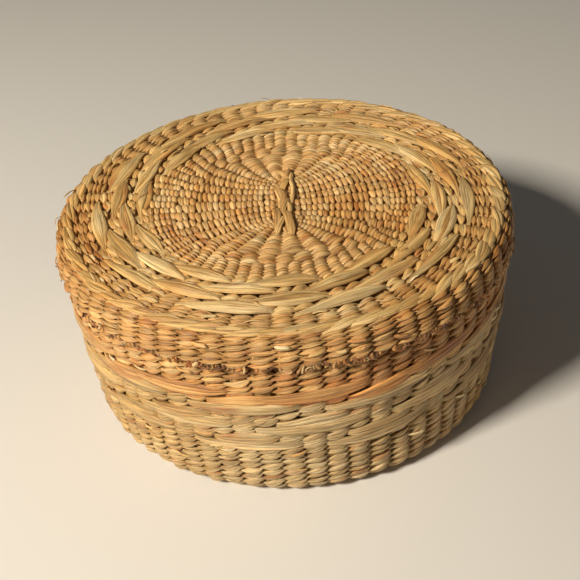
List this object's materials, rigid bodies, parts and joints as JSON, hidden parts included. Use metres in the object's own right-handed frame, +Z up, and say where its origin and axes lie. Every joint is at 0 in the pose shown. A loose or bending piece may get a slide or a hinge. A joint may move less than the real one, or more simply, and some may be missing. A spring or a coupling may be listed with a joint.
{
  "type": "lidded seagrass basket",
  "caption": "Small round twined seagrass storage basket with a shallow slip-over lid and a raised ring of long float strands on top.",
  "frame": {"origin": "centre of the circle that the base stands on, on the table", "axes": "+Z up along the basket's axis; the knot on the lid lies along Y and the viewer stands at -Y"},
  "size_m": [0.14, 0.14, 0.0622],
  "materials": {
    "stake_straw": "dry split stem, satin",
    "pale_straw": "dry seagrass, greenish cream, satin",
    "orange_straw": "dry seagrass, orange brown, satin",
    "golden_straw": "dry seagrass, golden tan, satin",
    "float_straw": "dry seagrass, long light strands, satin",
    "dark_straw": "ragged cut ends, dark brown, matte"
  },
  "bodies": {
    "base": {"base_stakes": "stake_straw", "base_centre_cross": "stake_straw", "base_bottom_twining": "pale_straw", "base_foot_wale": "pale_straw", "base_lower_twining": "pale_straw", "base_low_floats": "pale_straw", "base_low_plain_course": "pale_straw", "base_middle_floats": "pale_straw", "base_high_plain_course": "pale_straw", "base_high_floats": "orange_straw", "base_upper_twining": "orange_straw", "base_neck_twining": "golden_straw", "base_rim_course": "golden_straw", "base_cut_ends": "dark_straw", "base_floor_lining": "pale_straw", "base_wall_lining": "pale_straw"},
    "lid": {"lid_stakes": "stake_straw", "lid_centre_cross": "stake_straw", "lid_centre_knot": "float_straw", "lid_centre_twining": "golden_straw", "lid_disc_twining": "golden_straw", "lid_ring_row_1": "float_straw", "lid_ring_row_2": "float_straw", "lid_ring_row_3": "float_straw", "lid_ring_row_4": "float_straw", "lid_border_twining": "golden_straw", "lid_shoulder_wale": "golden_straw", "lid_skirt_twining": "golden_straw", "lid_edge_course": "golden_straw", "lid_cut_ends": "dark_straw", "lid_top_lining": "golden_straw", "lid_skirt_lining": "golden_straw"}
  },
  "joints": [
    {"name": "lid_lift", "type": "slide", "parent": "base", "child": "lid", "axis": [0, 0, 1], "range_m": [0, 0.06]}
  ]
}
